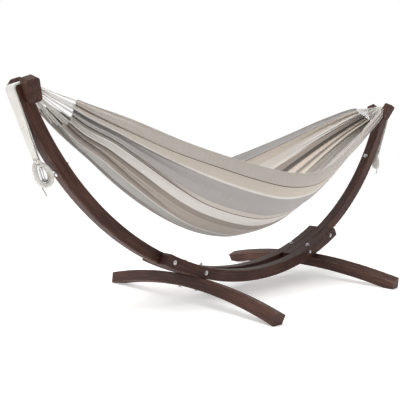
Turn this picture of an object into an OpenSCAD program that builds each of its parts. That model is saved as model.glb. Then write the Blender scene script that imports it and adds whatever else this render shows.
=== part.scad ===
// Two-person string hammock on a wooden arc stand.
// X runs along the hammock, Y across it, Z up. The origin is on the floor at the middle of the stand.

/* [Arc beams] */
// Radius of the arc that the arms and side beams share, at mid beam
arc_radius = 1400; // [1300:5:1500]
// Side of every square beam
beam = 60; // [50:1:66]
// Rounding of the beams' long edges
edge_round = 5; // [2:0.5:8]
// Height of the lowest point of the arc's underside
belly_clearance = 50; // [45:1:54]
// Angle of an arm's lower end from the middle
arm_low = 12.5; // [11:0.5:14]
// Angle of an arm's top end from the middle
arm_top = 70; // [69:0.5:70.5]
// Angle of the side beams' ends from the middle
side_end = 27.9; // [27.5:0.1:30]
// Chamfer on the upper corners of the side beams' ends
side_chamfer = 14; // [6:1:18]

/* [Feet] */
// Angle of the feet along the arc
foot_angle = 17.95; // [17.5:0.05:18.5]
// Length of a foot across the stand
foot_length = 1208; // [1100:1:1300]
// Radius of the foot's top
foot_radius = 2476; // [2300:1:2700]
// Depth of the seat cut in the foot for the beams
seat_depth = 2; // [1:0.5:4]

/* [Cheeks] */
// Length of a cheek block along the arm
cheek_length = 98; // [85:1:105]
// Width of a cheek block
cheek_width = 60; // [56:1:70]
// Thickness of a cheek block
cheek_thick = 44; // [30:1:50]
// Corner radius of a cheek block
cheek_round = 14; // [8:1:20]
// How far a cheek stands above the arm's end
cheek_rise = 27; // [24:1:32]
// Angle by which a cheek leans out from the arm's side
cheek_splay = 22; // [10:1:25]
// How far a cheek stands inside the arm's inner face
cheek_overhang = 23; // [20:1:30]

/* [Fasteners] */
// Diameter of the beam and foot bolts
bolt_d = 10; // [8:1:12]
// Clearance between a bolt and its hole, on the diameter
bolt_play = 0.6; // [0.4:0.1:1]
// Angles of the two cross bolts at each end
cross_bolts = [17.05, 25.75];
// Depth of the counterbore of a cross bolt
sink_depth = 5; // [4:0.5:7]
// Diameter of the counterbore of a cross bolt
sink_d = 26; // [24:1:30]
// Angle of the eye bolt along the arm
eye_angle = 54.6; // [53:0.1:56]
// Diameter of the eye bolt's rod
eye_rod = 9; // [8:0.5:10]
// Reach of the eye's centre from the arm's outer face
eye_reach = 60; // [55:1:64]

/* [Hammock] */
// Half-length of the cloth along its side edges
cloth_edge_x = 1090; // [1070:1:1095]
// How much further the middle of the cloth's end reaches
cloth_end_bow = 124; // [100:1:126]
// Half-width of the bed at its middle
bed_half_width = 376; // [340:2:420]
// Half-width of the bed at its ends
end_half_width = 60; // [50:1:62]
// Height of the near side edge at the middle
near_low = 618; // [600:1:650]
// Height of the near side edge at the ends
near_high = 950; // [940:1:960]
// Height of the far side edge at the middle
far_low = 646; // [620:1:670]
// Height of the far side edge at the ends
far_high = 972; // [950:1:975]
// Height of the belly at the middle
belly_low = 300; // [280:1:320]
// Height of the belly at the ends
belly_high = 915; // [900:1:920]
// How far the belly is lower on the left and higher on the right
belly_skew = 80; // [0:5:90]
// How far the far side edge is lower on the left and higher on the right
far_skew = 50; // [0:5:60]
// Thickness of the cloth solid
cloth_thick = 5; // [4:0.5:8]
// Strings in the fan at each end
fan_strings = 15; // [9:2:21]
// Diameter of a fan string
string_d = 3.6; // [3:0.2:4]

/* [Hidden] */

$fn = 96;
ARC_FN = 360;
half = beam / 2;
arc_z = arc_radius + half + belly_clearance;
side_y = beam;
wood = "#4a3630";
steel = "#c9ccd0";
cotton = "#eeebe6";
cloth_colour = "#b9b3a8";

washer_thick = 1.8;
washer_d = 22;
head_d = 16;
head_high = 5.5;
nut_high = 8;
nut_flats = 16;
hole_d = bolt_d + bolt_play;
// Room under a flat washer on a hollow face, so that its rim clears the curve
hollow_gap = 0.1;

eye_ring_r = 11.5;
hook_rod = 7;
hook_length = 62;
hook_half_width = 11.5;
hook_lean = 15.5;
pin_r = 1.5;
pin_play = 0.08;

saddle_round = 14;
tail_d = 4.4;
ribbon_half_thick = 4;
ribbon_half_width = 37;
neck_half_width = 14;
neck = [-1247, 0, 712];
CLOTH_S = 24;
CLOTH_T = 12;

// Unit vectors and points on the common arc, for an angle from straight down towards +X
function outward(a) = [sin(a), 0, -cos(a)];
function along(a) = [cos(a), 0, sin(a)];
function arc_point(a, r) = [0, 0, arc_z] + r * outward(a);

// Local frame on the arc: X along it, Y across the stand, Z towards the arc's centre
module on_arc(a, r = arc_radius) {
    translate(arc_point(a, r)) rotate([0, -a, 0]) children();
}

// The other end's copy of something modelled at one end of the stand
module other_end() { mirror([1, 0, 0]) children(); }

// Square with rounded corners, built from exact arcs
module rounded_square(w, h, r) {
    square([w, h - 2 * r], center = true);
    square([w - 2 * r, h], center = true);
    for (x = [-1, 1], y = [-1, 1])
        translate([x * (w / 2 - r), y * (h / 2 - r)]) circle(r);
}

// Beam of square section along the common arc between two angles, centred at y
module arc_beam(a0, a1, y) {
    translate([0, y, arc_z]) rotate([90, 0, 0]) rotate([0, 0, a0 - 90])
        rotate_extrude(angle = a1 - a0, $fn = ARC_FN)
            translate([arc_radius, 0]) rounded_square(beam, beam, edge_round);
}

// Cylinder along Y, centred
module across(d, length) {
    rotate([90, 0, 0]) cylinder(d = d, h = length, center = true);
}

// Holes for the two cross bolts of the right end, with the counterbores on both outer faces
module cross_holes() {
    for (a = cross_bolts) on_arc(a) {
        across(hole_d, 4 * beam);
        for (side = [-1, 1])
            translate([0, side * (1.5 * beam + 1), 0]) across(sink_d, 2 * sink_depth + 2);
    }
}

// Holes for the foot bolts of the right end, along the arc's radius
module foot_holes() {
    for (side = [-1, 1])
        on_arc(foot_angle, arc_radius + half)
            translate([0, side * side_y, 0]) cylinder(d = hole_d, h = 3 * beam, center = true);
}

// Waste to take off a square corner at the origin, beam on the -X side, to leave radius r
module corner_cutter(r, side) {
    difference() {
        translate([-r, -beam, -r]) cube([2 * r, 2 * beam, 2 * r]);
        translate([-r, 0, -side * r]) across(2 * r, 3 * beam);
        translate([-3 * r, -beam, -2 * r]) cube([2 * r, 2 * beam, 4 * r]);
        translate([-r, -beam, side > 0 ? -3 * r : r]) cube([2 * r, 2 * beam, 2 * r]);
    }
}

module arm() {
    color(wood) difference() {
        arc_beam(arm_low, arm_top, 0);
        cross_holes();
        on_arc(eye_angle) cylinder(d = eye_rod + bolt_play, h = 2 * beam, center = true);
        on_arc(arm_top) {
            translate([0, 0, half]) corner_cutter(saddle_round, 1);
            translate([0, 0, -half]) corner_cutter(saddle_round, -1);
        }
    }
}

// Waste beyond the chamfered right end of a side beam
module end_waste() {
    above = half + 3;
    on_arc(side_end) rotate([90, 0, 0]) linear_extrude(4 * beam, center = true)
        polygon([[-side_chamfer - 3, above], [0, half - side_chamfer], [0, -beam], [beam, -beam], [beam, above]]);
}

// The beam is made a little long, and then both its ends are cut
module side_beam(side) {
    spare = 1;
    color(wood) difference() {
        arc_beam(-side_end - spare, side_end + spare, side * side_y);
        for (flip = [0, 1]) mirror([flip, 0, 0]) {
            cross_holes();
            foot_holes();
            end_waste();
        }
    }
}

// Bowed foot with a seat that takes the curved beams, and ends cut level with the floor
module foot() {
    top = arc_radius + half - seat_depth;
    reach = asin(foot_length / 2 / foot_radius);
    color(wood) difference() {
        on_arc(foot_angle, top) translate([0, 0, -foot_radius]) rotate([0, -90, 0])
            rotate([0, 0, -reach]) rotate_extrude(angle = 2 * reach, $fn = ARC_FN)
                translate([foot_radius - half, 0]) rounded_square(beam, beam, edge_round);
        translate([0, 0, arc_z]) rotate([90, 0, 0])
            cylinder(r = arc_radius + half, h = 3 * beam, center = true, $fn = ARC_FN);
        foot_holes();
        translate([0, -foot_length, -beam]) cube([arc_radius, 2 * foot_length, beam]);
    }
}

// Block on one side face of the arm's top, leaning outwards to spread and keep the strings.
// What would lie inside the arm is cut off flat, so the block is glued to the arm's side.
module cheek(side) {
    color(wood) on_arc(arm_top) difference() {
        translate([cheek_rise - cheek_length / 2, side * half, half + cheek_overhang - cheek_width / 2])
            rotate([0, 0, side * cheek_splay])
                translate([0, side * cheek_thick / 2, 0])
                    rotate([90, 0, 0]) linear_extrude(cheek_thick, center = true)
                        rounded_square(cheek_length, cheek_width, cheek_round);
        cube([3 * cheek_length, beam, 3 * cheek_length], center = true);
    }
}

// Domed head standing on z = 0
module dome(d, h) {
    r = (d * d / 4 + h * h) / (2 * h);
    intersection() {
        translate([0, 0, h - r]) sphere(r);
        cylinder(d = d, h = h);
    }
}

module washer(d_out, d_in, h) {
    difference() {
        cylinder(d = d_out, h = h);
        translate([0, 0, -1]) cylinder(d = d_in, h = h + 2);
    }
}

// Hexagon nut standing on z = 0
module nut(flats, h, bore) {
    difference() {
        intersection() {
            cylinder(d = flats / cos(30), h = h, $fn = 6);
            translate([0, 0, h / 2]) sphere(d = sqrt(pow(flats * 1.1, 2) + h * h));
        }
        translate([0, 0, -1]) cylinder(d = bore, h = h + 2);
    }
}

// Places children on the near or far counterbore floor of each right cross bolt, +Z outwards
module at_cross(side) {
    for (a = cross_bolts) on_arc(a)
        translate([0, side * (1.5 * beam - sink_depth), 0]) rotate([-90 * side, 0, 0]) children();
}

module cross_bolts() {
    grip = 3 * beam - 2 * sink_depth;
    color(steel) at_cross(-1) {
        translate([0, 0, washer_thick]) dome(head_d, head_high);
        translate([0, 0, -grip - washer_thick - nut_high - 1])
            cylinder(d = bolt_d, h = grip + 2 * washer_thick + nut_high + 1);
    }
}

module cross_washers() {
    color(steel) {
        at_cross(-1) washer(washer_d, hole_d, washer_thick);
        at_cross(1) washer(washer_d, hole_d, washer_thick);
    }
}

module cross_nuts() {
    color(steel) at_cross(1) translate([0, 0, washer_thick]) nut(nut_flats, nut_high, bolt_d);
}

// Places children at each right foot bolt, on the top of the side beam, +Z up along the bolt
module at_foot_bolt() {
    for (side = [-1, 1])
        on_arc(foot_angle, arc_radius - half) translate([0, side * side_y, 0]) children();
}

module foot_bolts() {
    low = 2 * beam + 0.5;
    color(steel) at_foot_bolt() {
        translate([0, 0, -low - washer_thick]) cylinder(d = bolt_d, h = low + 2 * washer_thick + 7);
        translate([0, 0, -low - washer_thick]) rotate([180, 0, 0]) dome(head_d, head_high);
    }
}

module foot_washers() {
    color(steel) at_foot_bolt() {
        translate([0, 0, hollow_gap]) washer(washer_d, hole_d, washer_thick);
        translate([0, 0, -2 * beam - 0.5 - washer_thick]) washer(washer_d, hole_d, washer_thick);
    }
}

module foot_cap_nuts() {
    color(steel) at_foot_bolt() translate([0, 0, hollow_gap + washer_thick]) difference() {
        union() {
            cylinder(d = nut_flats / cos(30), h = 7, $fn = 6);
            translate([0, 0, 7]) dome(nut_flats - 1, 7);
        }
        translate([0, 0, -1]) cylinder(d = bolt_d, h = 8);
    }
}

// Places children on the outer face of the right arm at the eye bolt, +Z outwards
module at_eye() {
    on_arc(eye_angle, arc_radius + half) rotate([180, 0, 0]) children();
}

module eye_bolt() {
    shank_end = eye_reach - eye_ring_r;
    color(steel) at_eye() {
        translate([0, 0, -beam - washer_thick - nut_high - 5])
            cylinder(d = eye_rod, h = beam + washer_thick + nut_high + 5 + shank_end);
        translate([0, 0, eye_reach]) rotate([90, 0, 0])
            rotate_extrude() translate([eye_ring_r, 0]) circle(d = eye_rod);
    }
}

module eye_washers() {
    color(steel) at_eye() {
        washer(28, eye_rod + bolt_play, washer_thick);
        translate([0, 0, -beam - hollow_gap - washer_thick]) washer(26, eye_rod + bolt_play, washer_thick);
    }
}

module eye_nut() {
    color(steel) at_eye() translate([0, 0, -beam - hollow_gap - washer_thick - nut_high])
        nut(nut_flats, nut_high, eye_rod);
}

// Places children at the snap hook of the right side: origin where its lower bend lies in the eye,
// Z up along the hook, Y across the stand
module at_hook() {
    seat = eye_ring_r - eye_rod / 2 - hook_rod / 2 - 0.4;
    lean = [sin(hook_lean), 0, cos(hook_lean)];
    translate(arc_point(eye_angle, arc_radius + half + eye_reach) + seat * lean)
        rotate([0, hook_lean, 0]) children();
}

// Half-circle of rod in the YZ plane, opening downwards
module rod_bend(r, d) {
    rotate([90, 0, 90]) rotate_extrude(angle = 180) translate([r, 0]) circle(d = d);
}

// Oval hook: closed spine on the far side, open on the near side where the gate sits
module snap_hook() {
    r = hook_half_width;
    top = hook_length - r;
    color(steel) at_hook() {
        difference() {
            union() {
                translate([0, 0, r]) mirror([0, 0, 1]) rod_bend(r, hook_rod);
                translate([0, 0, top]) rod_bend(r, hook_rod);
                translate([0, r, r]) cylinder(d = hook_rod, h = top - r);
                translate([0, -r, r]) cylinder(d = hook_rod, h = 6);
                translate([0, -r, top - 4]) cylinder(d = hook_rod, h = 4);
            }
            translate([0, -r, r + 3]) cube([3, 2 * hook_rod, 8], center = true);
            translate([0, -r, r + 3]) rotate([0, 90, 0]) cylinder(r = pin_r, h = 20, center = true);
        }
    }
}

module gate_pin() {
    color(steel) at_hook() translate([0, -hook_half_width, hook_half_width + 3])
        rotate([0, 90, 0]) cylinder(r = pin_r, h = hook_rod, center = true);
}

// Gate with a flat tongue held by the pin, closing the near side of the hook
module snap_gate() {
    r = hook_half_width;
    top = hook_length - r - 4;
    foot = r + 7.5;
    color(steel) at_hook() {
        translate([0, -r, foot]) cylinder(d = 5, h = top - foot - 0.5);
        difference() {
            union() {
                translate([0, -r, r + 3]) rotate([0, 90, 0]) cylinder(r = 2.6, h = 2.2, center = true);
                translate([-1.1, -r - 2, r + 3]) cube([2.2, 4, foot - r]);
            }
            translate([0, -r, r + 3]) rotate([0, 90, 0])
                cylinder(r = pin_r + pin_play, h = 5, center = true);
        }
    }
}

// Point of the cloth: s runs -1 to 1 along X, t runs -1 to 1 across, inset shrinks it inwards
function cloth_point(s, t, inset) =
    let (
        a = abs(s),
        skew = 2.6 * s * (1 - s * s),
        width = end_half_width - inset + (bed_half_width - end_half_width) * (1 - pow(a, 1.27)),
        near = near_high - (near_high - near_low) * (1 - pow(a, 1.4)),
        far = far_high - (far_high - far_low) * (1 - pow(a, 1.5)) + far_skew * skew,
        edge = near + (far - near) * (1 + sin(90 * t)) / 2,
        belly = belly_high + inset - (belly_high - belly_low) * (1 - pow(a, 1.58)) + belly_skew * skew,
        c = cos(90 * t),
        tuck = 1 - 0.4 * (1 - pow(a, 1.5)) * c * c
    )
    [s * (cloth_edge_x + cloth_end_bow * (1 - t * t)),
     width * sin(90 * t) * tuck,
     edge - (edge - belly) * c];

function cloth_id(i, j, layer) = layer * (CLOTH_S + 1) * (CLOTH_T + 1) + i * (CLOTH_T + 1) + j;
function quad(a, b, c, d) = [[a, b, c], [a, c, d]];

module cloth() {
    skin = [for (layer = [0, 1], i = [0:CLOTH_S], j = [0:CLOTH_T])
        cloth_point(2 * i / CLOTH_S - 1, 2 * j / CLOTH_T - 1, layer * cloth_thick)];
    outer = [for (i = [0:CLOTH_S - 1], j = [0:CLOTH_T - 1])
        each quad(cloth_id(i, j, 0), cloth_id(i, j + 1, 0), cloth_id(i + 1, j + 1, 0), cloth_id(i + 1, j, 0))];
    inner = [for (i = [0:CLOTH_S - 1], j = [0:CLOTH_T - 1])
        each quad(cloth_id(i, j, 1), cloth_id(i + 1, j, 1), cloth_id(i + 1, j + 1, 1), cloth_id(i, j + 1, 1))];
    near = [for (i = [0:CLOTH_S - 1])
        each quad(cloth_id(i, 0, 0), cloth_id(i + 1, 0, 0), cloth_id(i + 1, 0, 1), cloth_id(i, 0, 1))];
    far = [for (i = [0:CLOTH_S - 1])
        each quad(cloth_id(i, CLOTH_T, 0), cloth_id(i, CLOTH_T, 1),
                  cloth_id(i + 1, CLOTH_T, 1), cloth_id(i + 1, CLOTH_T, 0))];
    left = [for (j = [0:CLOTH_T - 1])
        each quad(cloth_id(0, j, 0), cloth_id(0, j, 1), cloth_id(0, j + 1, 1), cloth_id(0, j + 1, 0))];
    right = [for (j = [0:CLOTH_T - 1])
        each quad(cloth_id(CLOTH_S, j, 0), cloth_id(CLOTH_S, j + 1, 0),
                  cloth_id(CLOTH_S, j + 1, 1), cloth_id(CLOTH_S, j, 1))];
    color(cloth_colour) polyhedron(points = skin, faces = concat(outer, inner, near, far, left, right));
}

// Straight round rod between two points
module rod(p, q, d) {
    v = q - p;
    translate(p) rotate([0, acos(v.z / norm(v)), atan2(v.y, v.x)]) cylinder(d = d, h = norm(v), $fn = 24);
}

// Strings of the right end, from the saddle between the cheeks to the cloth's end
module fan() {
    start_x = arc_point(arm_top, arc_radius - half).x - 4.5;
    start_z = arc_point(arm_top, arc_radius - half).z + 1;
    color(cotton) for (k = [0:fan_strings - 1]) {
        t = 2 * k / (fan_strings - 1) - 1;
        mid = (cloth_point(1, t, 0) + cloth_point(1, t, cloth_thick)) / 2;
        rod([start_x, t * 9, start_z - 5 * cos(90 * t)], mid + [0.5, 0, 0], string_d);
    }
}

// Sweep of an elliptical section along a path: a across the path in its own plane, b sideways
function unit(v) = v / norm(v);
function tangent(path, i) =
    unit(path[min(i + 1, len(path) - 1)] - path[max(i - 1, 0)]);
function ring(p, t, a, b, sides) =
    let (u = unit(cross(t, [0, 1, 0])), w = cross(u, t))
    [for (k = [0:sides - 1]) p + a * cos(360 * k / sides) * u + b * sin(360 * k / sides) * w];
function sweep_faces(rings, sides) = concat(
    [for (i = [0:rings - 2], k = [0:sides - 1])
        each quad(i * sides + k, i * sides + (k + 1) % sides,
                  (i + 1) * sides + (k + 1) % sides, (i + 1) * sides + k)],
    [[for (k = [0:sides - 1]) sides - 1 - k]],
    [[for (k = [0:sides - 1]) (rings - 1) * sides + k]]);

module sweep(path, a, b, sides) {
    points = [for (i = [0:len(path) - 1]) each ring(path[i], tangent(path, i), a[i], b[i], sides)];
    polyhedron(points = points, faces = sweep_faces(len(path), sides));
}

// Catmull-Rom curve through hand-set points, n steps a span
function curve_point(p0, p1, p2, p3, u) =
    0.5 * (2 * p1 + (p2 - p0) * u + (2 * p0 - 5 * p1 + 4 * p2 - p3) * u * u
           + (3 * p1 - p0 - 3 * p2 + p3) * u * u * u);
function smooth_path(p, n) = concat(
    [for (i = [0:len(p) - 2], k = [0:n - 1])
        curve_point(p[max(i - 1, 0)], p[i], p[i + 1], p[min(i + 2, len(p) - 1)], k / n)],
    [p[len(p) - 1]]);

// Route of the left string bundle: over the rounded end of the arm, then straight down to the neck
function mirrored(p) = [-p.x, p.y, p.z];
function saddle_centre() =
    mirrored(arc_point(arm_top, arc_radius + half - saddle_round)) - saddle_round * mirrored(along(arm_top));
function saddle_at(a) =
    let (u = mirrored(along(arm_top)), v = mirrored(outward(arm_top)))
    saddle_centre() + (saddle_round + ribbon_half_thick + 0.4) * (cos(a) * u + sin(a) * v);
function bundle_path() =
    let (inner = mirrored(arc_point(arm_top, arc_radius - half))
                 + (ribbon_half_thick + 0.4) * mirrored(along(arm_top)))
    concat([inner + 0.02 * (saddle_at(0) - inner)],
           [for (u = [0.35, 0.7]) inner + u * (saddle_at(0) - inner)],
           [for (a = [0:22.5:90]) saddle_at(a)],
           [for (u = [0.15:0.17:1]) saddle_at(90) + u * (neck - saddle_at(90))]);

module harness() {
    path = bundle_path();
    n = len(path) - 1;
    thick = [for (i = [0:n]) ribbon_half_thick + 6 * pow(max(i / n - 0.45, 0) / 0.55, 2)];
    narrowing = ribbon_half_width - neck_half_width;
    wide = [for (i = [0:n]) ribbon_half_width - narrowing * pow(max(i / n - 0.4, 0) / 0.6, 1.2)];
    color(cotton) sweep(path, thick, wide, 12);
}

// Band wound round the neck of the bundle
module whipping() {
    dir = unit(neck - saddle_at(90));
    path = [for (k = [0:3]) neck + (0.2 + k * 5) * dir];
    color(cotton) sweep(path, [for (p = path) 11], [for (p = path) 15], 12);
}

// Free loop of the bundle's end, hanging round the hook: a wide leg beside the arm and a narrow one outside
loop_route = [
    [-1238, -7, 694], [-1218, -12, 684], [-1203, -19, 662], [-1198, -23, 636], [-1204, -21, 614],
    [-1220, -17, 606], [-1237, -15, 613], [-1249, -9, 632], [-1254, -2, 658], [-1254, 3, 680],
    [-1248, 4, 694]
];

module end_loop() {
    path = smooth_path(loop_route, 3);
    n = len(path) - 1;
    thick = [for (p = path) 8];
    wide = [for (i = [0:n]) 8 + 10 * pow(sin(180 * min(1.7 * i / n, 1)), 2)];
    color(cotton) sweep(path, thick, wide, 10);
}

// Loose end of the whipping cord, hanging from the loop
tail_route = [[-1233, -15, 598], [-1228, -17, 587], [-1221, -18, 575], [-1215, -18, 563]];

module tail() {
    path = smooth_path(tail_route, 2);
    r = [for (p = path) tail_d / 2];
    color(cotton) sweep(path, r, r, 8);
}

other_end() arm();  // arm_left
arm();  // arm_right
side_beam(-1);  // side_beam_near
side_beam(1);  // side_beam_far
other_end() foot();  // foot_left
foot();  // foot_right
other_end() cheek(-1);  // cheek_left_near
other_end() cheek(1);  // cheek_left_far
cheek(-1);  // cheek_right_near
cheek(1);  // cheek_right_far
other_end() cross_bolts();  // cross_bolts_left
cross_bolts();  // cross_bolts_right
other_end() cross_washers();  // cross_washers_left
cross_washers();  // cross_washers_right
other_end() cross_nuts();  // cross_nuts_left
cross_nuts();  // cross_nuts_right
other_end() foot_bolts();  // foot_bolts_left
foot_bolts();  // foot_bolts_right
other_end() foot_washers();  // foot_washers_left
foot_washers();  // foot_washers_right
other_end() foot_cap_nuts();  // foot_cap_nuts_left
foot_cap_nuts();  // foot_cap_nuts_right
other_end() eye_bolt();  // eye_bolt_left
eye_bolt();  // eye_bolt_right
other_end() eye_washers();  // eye_washers_left
eye_washers();  // eye_washers_right
other_end() eye_nut();  // eye_nut_left
eye_nut();  // eye_nut_right
other_end() snap_hook();  // snap_hook_left
snap_hook();  // snap_hook_right
other_end() snap_gate();  // snap_gate_left
snap_gate();  // snap_gate_right
other_end() gate_pin();  // gate_pin_left
gate_pin();  // gate_pin_right
cloth();
other_end() fan();  // fan_left
fan();  // fan_right
harness();  // harness_left
other_end() harness();  // harness_right
whipping();  // whipping_left
other_end() whipping();  // whipping_right
end_loop();  // end_loop_left
other_end() end_loop();  // end_loop_right
tail();  // tail_left
other_end() tail();  // tail_right
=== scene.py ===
"""Looks of the hammock on its wooden arc stand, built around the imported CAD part."""
import math

import bpy
import numpy as np
from mathutils import Matrix


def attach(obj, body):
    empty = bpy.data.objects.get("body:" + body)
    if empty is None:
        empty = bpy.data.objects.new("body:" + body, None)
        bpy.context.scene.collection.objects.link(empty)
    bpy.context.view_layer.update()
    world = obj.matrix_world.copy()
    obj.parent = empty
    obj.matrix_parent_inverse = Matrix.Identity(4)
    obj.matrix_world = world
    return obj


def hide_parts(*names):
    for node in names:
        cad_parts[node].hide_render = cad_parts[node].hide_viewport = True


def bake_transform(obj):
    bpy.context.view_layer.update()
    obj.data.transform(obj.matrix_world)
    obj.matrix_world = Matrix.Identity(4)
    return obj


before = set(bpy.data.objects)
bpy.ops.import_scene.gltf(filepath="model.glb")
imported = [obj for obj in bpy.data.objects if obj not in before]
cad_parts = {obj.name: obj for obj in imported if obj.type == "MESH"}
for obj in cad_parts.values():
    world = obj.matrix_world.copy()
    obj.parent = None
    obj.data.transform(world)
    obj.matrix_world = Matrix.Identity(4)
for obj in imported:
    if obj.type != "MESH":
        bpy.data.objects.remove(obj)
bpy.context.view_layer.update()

# Driving sizes of the CAD part, in metres and degrees; angles run up along the arc from straight down
ARC_RADIUS = 1.400      # middle line of the arms and side beams
BEAM = 0.060            # side of the square beams
HALF = BEAM / 2
ARC_Z = 1.480           # height of the arc's centre
SIDE_Y = 0.060          # Y of a side beam's middle
ARM_TOP = 70.0          # end of an arm
FOOT_ANGLE = 17.95      # middle of a foot
FOOT_RADIUS = 2.476     # top of a foot
SEAT_DEPTH = 0.002      # seat cut in a foot for the beams
SADDLE_ROUND = 0.014    # rounding of the arm's end, where the strings run over it
RIBBON_THICK = 0.004    # half the thickness of the flat bundle of strings
NECK = np.array([-1.247, 0.0, 0.712])   # where the left bundle is bound
LOOP_ROUTE = np.array([
    [-1.238, -0.007, 0.694], [-1.218, -0.012, 0.684], [-1.203, -0.019, 0.662],
    [-1.198, -0.023, 0.636], [-1.204, -0.021, 0.614], [-1.220, -0.017, 0.606],
    [-1.237, -0.015, 0.613], [-1.249, -0.009, 0.632], [-1.254, -0.002, 0.658],
    [-1.254, 0.003, 0.680], [-1.248, 0.004, 0.694]])
TAIL_ROUTE = np.array([
    [-1.233, -0.015, 0.598], [-1.228, -0.017, 0.587], [-1.221, -0.018, 0.575],
    [-1.215, -0.018, 0.563]])
TAIL_D = 0.0044         # thickness of the whipping cord's loose end

# Other sizes, in metres
FLOOR_HALF = 40.0
RIBBON_GAP = 0.0004     # between the bundle and the arm
INNER_EDGE = 0.006      # from the arm's inner face to where the strings meet the arm's end
STRING_RADIUS = 0.0015
WHIPPING_RADIUS = 0.0015
HEM_RADIUS = 0.0021


def srgb(red, green, blue):
    """Linear colour of display values from 0 to 255."""
    values = []
    for c in (red / 255, green / 255, blue / 255):
        values.append(c / 12.92 if c <= 0.04045 else ((c + 0.055) / 1.055) ** 2.4)
    return (*values, 1.0)


# ---------------------------------------------------------------- camera, light and floor

def make_camera():
    """Long lens in front of the stand's left end; turns in radians, place in metres."""
    yaw, pitch, roll = 0.7399, 0.0832, -0.0113
    forward = np.array([math.sin(yaw) * math.cos(pitch), math.cos(yaw) * math.cos(pitch), -math.sin(pitch)])
    right = np.array([math.cos(yaw), -math.sin(yaw), 0.0])
    up = np.cross(right, forward)
    right, up = (math.cos(roll) * right + math.sin(roll) * up,
                 math.cos(roll) * up - math.sin(roll) * right)
    data = bpy.data.cameras.new("camera")
    data.sensor_width = 36.0
    data.lens = 54.22
    data.shift_x = -0.00175
    data.shift_y = -0.00244
    camera = bpy.data.objects.new("camera", data)
    bpy.context.scene.collection.objects.link(camera)
    turn = Matrix([[right[i], up[i], -forward[i]] for i in range(3)]).to_4x4()
    camera.matrix_world = Matrix.Translation((-2.3836, -2.2118, 0.746)) @ turn
    bpy.context.scene.camera = camera


def area_light(name, place, target, size, power):
    """Round soft light of this diameter at place, facing target."""
    data = bpy.data.lights.new(name, "AREA")
    data.shape = "DISK"
    data.size = size
    data.energy = power
    lamp = bpy.data.objects.new(name, data)
    bpy.context.scene.collection.objects.link(lamp)
    back = (np.array(place, float) - np.array(target, float))
    back /= np.linalg.norm(back)
    side = np.cross([0.0, 0.0, 1.0], back)
    side /= np.linalg.norm(side)
    top = np.cross(back, side)
    lamp.matrix_world = Matrix.Translation(place) @ Matrix(
        [[side[i], top[i], back[i]] for i in range(3)]).to_4x4()


def make_studio():
    """White surroundings that give less light from -Y than from +Y, and three soft lights."""
    world = bpy.data.worlds.new("studio")
    bpy.context.scene.world = world
    world.use_nodes = True
    tree = world.node_tree
    split = tree.nodes.new("ShaderNodeSeparateXYZ")
    tree.links.new(tree.nodes.new("ShaderNodeTexCoord").outputs["Generated"], split.inputs[0])
    room = tree.nodes.new("ShaderNodeMapRange")
    room.interpolation_type = "SMOOTHSTEP"
    for name, value in (("From Min", -0.45), ("From Max", 0.30), ("To Min", 0.32), ("To Max", 1.02)):
        room.inputs[name].default_value = value
    tree.links.new(split.outputs["Y"], room.inputs["Value"])
    rays = tree.nodes.new("ShaderNodeLightPath")
    seen = tree.nodes.new("ShaderNodeMix")
    seen.inputs["B"].default_value = 1.0
    tree.links.new(rays.outputs["Is Camera Ray"], seen.inputs["Factor"])
    tree.links.new(room.outputs[0], seen.inputs["A"])
    background = tree.nodes["Background"]
    background.inputs["Color"].default_value = (1.0, 1.0, 1.0, 1.0)
    tree.links.new(seen.outputs["Result"], background.inputs["Strength"])
    area_light("softbox_top", (-0.4, -0.4, 3.4), (0.0, 0.0, 0.4), 2.2, 66.0)
    area_light("softbox_left", (-4.2, 0.6, 1.9), (0.0, 0.0, 0.6), 1.6, 38.0)
    area_light("softbox_right", (4.0, -2.0, 1.7), (0.2, 0.0, 0.6), 1.6, 26.0)
    bpy.context.scene.view_settings.view_transform = "Standard"
    bpy.context.scene.view_settings.look = "None"


def make_floor():
    points = FLOOR_HALF * np.array([[-1, -1, 0], [1, -1, 0], [1, 1, 0], [-1, 1, 0]])
    floor = new_mesh("floor", points, [(0, 1, 2, 3)], floor_material())


# ---------------------------------------------------------------- meshes

def new_mesh(name, points, faces, material, uvs=None):
    """Smooth mesh object; uvs holds one pair for each face corner, in the faces' order."""
    mesh = bpy.data.meshes.new(name)
    mesh.from_pydata([tuple(p) for p in points], [], [tuple(f) for f in faces])
    mesh.polygons.foreach_set("use_smooth", [True] * len(mesh.polygons))
    if uvs is not None:
        layer = mesh.uv_layers.new(name="flat")
        layer.data.foreach_set("uv", np.asarray(uvs, np.float32).ravel())
    mesh.materials.append(material)
    mesh.update()
    thing = bpy.data.objects.new(name, mesh)
    bpy.context.scene.collection.objects.link(thing)
    return thing


def unit(v):
    return v / np.linalg.norm(v, axis=-1, keepdims=True)


def smooth_path(route, steps):
    """Catmull-Rom curve through the route's points."""
    out = []
    last = len(route) - 1
    for i in range(last):
        p0, p1, p2, p3 = route[max(i - 1, 0)], route[i], route[i + 1], route[min(i + 2, last)]
        for u in np.arange(steps) / steps:
            out.append(0.5 * (2 * p1 + (p2 - p0) * u + (2 * p0 - 5 * p1 + 4 * p2 - p3) * u * u
                              + (3 * p1 - p0 - 3 * p2 + p3) * u ** 3))
    out.append(route[last])
    return np.array(out)


def tangents(path):
    slope = np.empty_like(path)
    slope[1:-1] = path[2:] - path[:-2]
    slope[0], slope[-1] = path[1] - path[0], path[-1] - path[-2]
    return unit(slope)


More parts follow.
